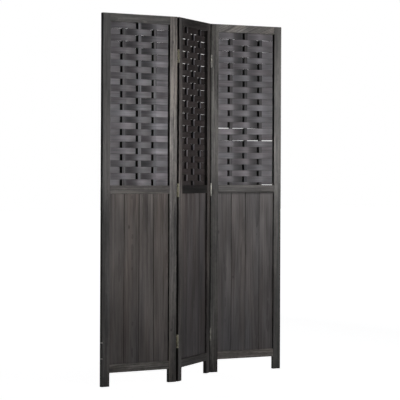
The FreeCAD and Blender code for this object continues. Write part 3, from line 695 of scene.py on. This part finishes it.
def weavePanel(panel, plan, shape):
    draw = random.Random(plan["seed"])
    outward = panelMatrix(panel)
    slats = [outward.inverted() @ boxMiddle(f"{panel}_panel_slat_{i}") for i in (1, 2, 3)]
    slats.sort(key=lambda spot: spot.x)
    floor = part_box(f"{panel}_panel_middle_rail")[1].z
    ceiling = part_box(f"{panel}_panel_top_rail")[0].z
    height = (ceiling - floor) / shape["rows"] - shape["gap"]
    pattern = modelSplint(shape, splintLine(shape, [spot.x for spot in slats], plan["shadeEnd"]), height)
    copies = []
    for row, (left, right, tall) in enumerate(rowEdges(plan, shape, floor, ceiling)):
        piece = pattern.copy()
        piece.data = pattern.data.copy()
        bpy.context.scene.collection.objects.link(piece)
        tilt = (right - left) / (2 * shape["reach"])
        place = Matrix.Translation((0, slats[1].y, (left + right) / 2 - tall / 2))
        lean = Matrix(((1, 0, 0, 0), (0, 1, 0, 0), (tilt, 0, 1, 0), (0, 0, 0, 1)))
        size = Matrix.Diagonal((1, 1, tall / height, 1))
        behindOuter = (row + plan["firstBehind"]) % 2 == 1
        mark(piece, "splintEdge", lambda vert: abs(vert.co.z) * 2 / height)
        # painted light and shade by the way each part of a splint faces
        mark(piece, "splintSlopeLight", lambda vert: slopeLightAndShade(vert, plan, shape, slats, behindOuter))
        slacken(piece, plan, shape, row, slats)
        piece.data.transform(size @ Matrix.Rotation(math.pi * behindOuter, 4, "Z"))
        if row == shape["rows"] - 1 and plan["sprung"]:
            springUp(piece, plan, shape, slats)
        piece.data.transform(place @ lean)
        # painted shade beside the slats and at the stiles
        mark(piece, "splintShade", lambda vert: inCorner(vert.co.x, plan, shape, slats, behindOuter))
        tone, shift = draw.uniform(0, 1), draw.uniform(-9, 9)
        mark(piece, "splintTone", lambda vert: tone)
        mark(piece, "splintShift", lambda vert: shift)
        copies.append(piece)
    bpy.data.objects.remove(pattern)
    bpy.ops.object.select_all(action="DESELECT")
    for piece in copies:
        piece.select_set(True)
    bpy.context.view_layer.objects.active = copies[0]
    bpy.ops.object.join()
    weave = bpy.context.object
    weave.name = weave.data.name = f"{panel}_panel_woven_splints"
    rippleField = bpy.data.textures.new(f"{panel}_splint_ripple", "CLOUDS")
    rippleField.noise_scale = shape["rippleSize"]
    ripple = weave.modifiers.new("ripple", "DISPLACE")
    ripple.texture, ripple.direction, ripple.texture_coords = rippleField, "Y", "LOCAL"
    ripple.strength, ripple.mid_level = shape["ripple"], 0.5
    applyAll(weave)
    bpy.ops.object.shade_smooth_by_angle(angle=math.radians(shape["smoothAngle"]))
    weave.data.transform(outward)
    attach(weave, f"{panel}_panel")
    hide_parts(f"{panel}_panel_weave_bands")
    return weave


# the same splints in three copies, each lighter or darker for how light falls on its panel: painted light and shade;
# the middle panel's copy is the shaded one
splintLooks = {
    "left": {"pore": (0.034, 0.0327, 0.0355), "body": (0.068, 0.0653, 0.0710), "light": (0.127, 0.1219, 0.1325),
             "rough": (0.46, 0.60), "gloss": 0.08, "paintedShade": 1.0},
    "middle": {"pore": (0.022, 0.0187, 0.0182), "body": (0.043, 0.0366, 0.0357), "light": (0.068, 0.0585, 0.0570),
               "rough": (0.50, 0.62), "gloss": 0.06, "paintedShade": 0.66},
    "right": {"pore": (0.043, 0.0418, 0.0444), "body": (0.079, 0.0762, 0.0814), "light": (0.129, 0.1245, 0.1330),
              "rough": (0.50, 0.64), "gloss": 0.05, "paintedShade": 1.0},
}

# stretch along, through and over the height of a splint, then detail and roughness
splintPatterns = {"fibre": ((11, 40, 700), 3, 0.6), "streak": ((4, 12, 150), 2, 0.55),
                  "patch": ((14, 14, 40), 2, 0.5), "tint": ((3, 3, 16), 1, 0.5)}

splintFinish = {
    "fibre": 0.30, "streak": 0.40, "patch": 0.30, "rowTone": 0.12, "stops": (0.25, 0.50, 0.78),
    "tint": [(0.35, (0.96, 1.01, 1.02)), (0.5, (1, 1, 1)), (0.65, (1.05, 0.98, 0.99))], "tintShare": 0.5,
    # painted shade along each row's top and bottom edge, and beside the slats and at the stiles
    "rowShade": (0.91, 0.99), "rowShadeShare": 0.6, "rowShadeTone": 0.4, "paintedShade": (0.25, 0.55),
    "roughSpan": (0.3, 0.7), "bumpStrength": 0.25, "bumpDepth": 0.0004,
}


def splintStainAndShade(panel, look):
    material, tree, shader = newMaterial(f"splint_stain_and_shade_{panel}")
    finish = splintFinish
    pattern = patterns(tree, vectors(tree, "ADD", panelSpace(tree, panel), attribute(tree, "splintShift")),
                       splintPatterns)
    rowTone = put(tree, "MapRange", {"Value": attribute(tree, "splintTone"), "To Min": -finish["rowTone"],
                                     "To Max": finish["rowTone"]}).outputs[0]
    amount = weigh(tree, rowTone, [(pattern[name], finish[name]) for name in ("fibre", "streak", "patch")])
    colour = ramp(tree, amount, list(zip(finish["stops"], (look["pore"], look["body"], look["light"]))))
    colour = blend(tree, finish["tintShare"], colour, ramp(tree, pattern["tint"], finish["tint"]), "MULTIPLY")
    # painted light and shade by the way each part of a splint faces
    colour = vectors(tree, "MULTIPLY", colour, attribute(tree, "splintSlopeLight", "Vector"))
    # painted shade along each row's top and bottom edge, between the rows
    rowShade = ease(tree, attribute(tree, "splintEdge"), *finish["rowShade"], 0.0, finish["rowShadeShare"])
    colour = blend(tree, rowShade, colour, (*shade(look["pore"], finish["rowShadeTone"]), 1))
    # painted shade beside the slats and at the stiles
    paintedShade = ease(tree, attribute(tree, "splintShade"), *finish["paintedShade"], 0.0, look["paintedShade"])
    tree.links.new(blend(tree, paintedShade, colour, black), shader.inputs["Base Color"])
    tree.links.new(paintedShade, shader.inputs["Metallic"])  # no shine in the painted shade
    shader.inputs["Specular IOR Level"].default_value = look["gloss"]
    setRough(tree, shader, pattern["fibre"], finish["roughSpan"], look["rough"])
    setBump(tree, shader, calc(tree, "ADD", pattern["fibre"], pattern["streak"]), finish["bumpStrength"],
            finish["bumpDepth"])
    return material


for panel in panels:
    weave = weavePanel(panel, weavePlans[panel], splintShape)
    weave.data.materials.clear()
    weave.data.materials.append(splintStainAndShade(panel, splintLooks[panel]))
    print("woven", weave.name, len(weave.data.polygons), "faces")


# floor, light and camera
studio = {
    "floorSize": 60.0, "floorColour": (0.80, 0.80, 0.80, 1), "floorRough": 0.9, "floorLift": 0.92,
    "worldGlow": (0.178, 0.181, 0.187, 1),
    "boxAway": 2.2, "boxTall": 2.3, "boxMiddle": 1.05, "boxSpread": 5.0, "boxTint": (1.0, 0.98, 0.975),
    "boxes": {  # glow: share of the height, brightness
        "left": {"turn": 51.0, "beside": -0.375, "wide": 0.40, "power": 5.8,
                 "glow": [(0.0, 0.12), (0.15, 0.26), (0.27, 0.44), (0.38, 0.42), (0.44, 0.80), (0.52, 0.96),
                          (0.70, 0.85), (0.85, 0.65)]},
        "middle": {"turn": 40.0, "beside": 0.0, "wide": 0.38, "power": 5.0,
                   "glow": [(0.0, 0.05), (0.15, 0.10), (0.27, 0.20), (0.40, 0.34), (0.44, 0.26), (0.54, 0.23),
                            (0.68, 0.17)]},
        "right": {"turn": 38.0, "beside": 0.39, "wide": 0.40, "power": 5.3,
                  "glow": [(0.0, 0.15), (0.15, 0.28), (0.27, 0.39), (0.38, 0.53), (0.44, 1.02), (0.52, 1.2),
                           (0.70, 0.83), (0.85, 0.65)]},
        "behind": {"turn": 168.0, "beside": 0.0, "wide": 1.5, "power": 7.8, "glow": [(0.0, 0.8), (0.6, 1.0)]},
    },
    "passed": ("left_panel_right_stile", "right_panel_right_stile"),
    "flags": {"left": ((-1.9, -3.0), (-1.9, 4.0)), "right": ((2.4, -0.7), (2.4, 3.0))},
    "flagHeight": 3.0, "flagColour": (0.012, 0.012, 0.012, 1),
}


def letPast(names):
    # pieces that throw no shadow of a softbox, as if its light came round them
    group = bpy.data.collections.new("softbox_passes")
    for name in names:
        group.objects.link(nodes[name])
    for member in group.collection_objects:
        member.light_linking.link_state = "EXCLUDE"
    return group


def addSoftbox(name, plan, box, passed):
    # tall softbox with a grid, its glow changing over the height
    data = bpy.data.lights.new(name, "AREA")
    data.shape, data.size, data.size_y = "RECTANGLE", box["wide"], plan["boxTall"]
    data.energy, data.spread = box["power"], math.radians(plan["boxSpread"])
    data.use_nodes = True
    tree = data.node_tree
    level = put(tree, "SeparateXYZ", {"Vector": put(tree, "NewGeometry").outputs["Parametric"]}).outputs[1]
    glow = ramp(tree, level, [(spot, shade(plan["boxTint"], value)) for spot, value in box["glow"]])
    tree.links.new(glow, tree.nodes["Emission"].inputs["Color"])
    holder = bpy.data.objects.new(name, data)
    turn = math.radians(box["turn"])
    toward, across = Vector((math.sin(turn), -math.cos(turn), 0)), Vector((math.cos(turn), math.sin(turn), 0))
    holder.location = toward * plan["boxAway"] + across * box["beside"] + Vector((0, 0, plan["boxMiddle"]))
    holder.rotation_euler = (-toward).to_track_quat("-Z", "Y").to_euler()
    holder.visible_camera = False
    holder.light_linking.blocker_collection = passed
    bpy.context.scene.collection.objects.link(holder)


def mattMaterial(name, colour, rough):
    material, tree, shader = newMaterial(name)
    shader.inputs["Base Color"].default_value = colour
    shader.inputs["Roughness"].default_value = rough
    shader.inputs["Specular IOR Level"].default_value = 0.0
    return material, tree, shader


def addFlag(name, plan, ends):
    # dark card out of the picture
    bpy.ops.object.select_all(action="DESELECT")
    start, stop = Vector((*ends[0], 0)), Vector((*ends[1], 0))
    tall = plan["flagHeight"]
    bpy.ops.mesh.primitive_plane_add(size=1)
    card = bpy.context.object
    card.name = name
    card.data.transform(Matrix.Diagonal(((stop - start).length, tall, 1, 1)))
    card.data.transform(Matrix.Rotation(math.pi / 2, 4, "X"))
    card.data.transform(Matrix.Rotation(math.atan2(stop.y - start.y, stop.x - start.x), 4, "Z"))
    card.data.transform(Matrix.Translation((start + stop) / 2 + Vector((0, 0, tall / 2))))
    card.visible_camera = False
    card.data.materials.append(mattMaterial(name, plan["flagColour"], 1.0)[0])


def shownRays(tree):
    # camera, mirror and see-through rays
    path = put(tree, "LightPath").outputs
    return calc(tree, "MAXIMUM", calc(tree, "MAXIMUM", path["Is Camera Ray"], path["Is Glossy Ray"]),
                path["Is Transmission Ray"])


def addFloor(plan):
    bpy.ops.object.select_all(action="DESELECT")
    bpy.ops.mesh.primitive_plane_add(size=plan["floorSize"])
    floor = bpy.context.object
    floor.name = "studio_floor"
    material, tree, shader = mattMaterial("pale_floor", plan["floorColour"], plan["floorRough"])
    glow = put(tree, "Emission", {"Color": white,
                                  "Strength": calc(tree, "MULTIPLY", shownRays(tree), plan["floorLift"])})
    both = put(tree, "AddShader", {0: shader.outputs[0], 1: glow.outputs[0]})
    tree.links.new(both.outputs[0], tree.nodes["Material Output"].inputs["Surface"])
    floor.data.materials.append(material)


def setWorld(plan):
    # soft light on the object, white behind it
    world = bpy.data.worlds.new("studio")
    world.use_nodes = True
    tree = world.node_tree
    soft = tree.nodes["Background"]
    soft.inputs["Color"].default_value = plan["worldGlow"]
    backdrop = put(tree, "Background", {"Color": white, "Strength": 1.0})
    pick = put(tree, "MixShader", {0: shownRays(tree), 1: soft.outputs[0], 2: backdrop.outputs[0]})
    tree.links.new(pick.outputs[0], tree.nodes["World Output"].inputs["Surface"])
    bpy.context.scene.world = world


def buildStudio(plan):
    addFloor(plan)
    setWorld(plan)
    passed = letPast(plan["passed"])
    for side, box in plan["boxes"].items():
        addSoftbox(side + "_softbox", plan, box, None if side == "behind" else passed)
    for side, ends in plan["flags"].items():
        addFlag(side + "_flag", plan, ends)


shot = {"place": (-4.6114, -7.0964, 0.9872), "yaw": -33.231, "roll": 0.236, "lens": 159.69, "sensor": 36.0,
        "shiftUp": -0.07518, "farEnd": 200}


def placeCamera(plan):
    data = bpy.data.cameras.new("photo_camera")
    data.lens, data.sensor_width, data.shift_y = plan["lens"], plan["sensor"], plan["shiftUp"]
    data.clip_end = plan["farEnd"]
    camera = bpy.data.objects.new("photo_camera", data)
    camera.matrix_world = (Matrix.Translation(plan["place"]) @ Matrix.Rotation(math.radians(plan["yaw"]), 4, "Z")
                           @ Matrix.Rotation(math.pi / 2, 4, "X")
                           @ Matrix.Rotation(math.radians(plan["roll"]), 4, "Z"))
    bpy.context.scene.collection.objects.link(camera)
    bpy.context.scene.camera = camera


buildStudio(studio)
placeCamera(shot)
bpy.context.scene.view_settings.view_transform = "Standard"
print("studio and camera set")

bpy.context.view_layer.update()
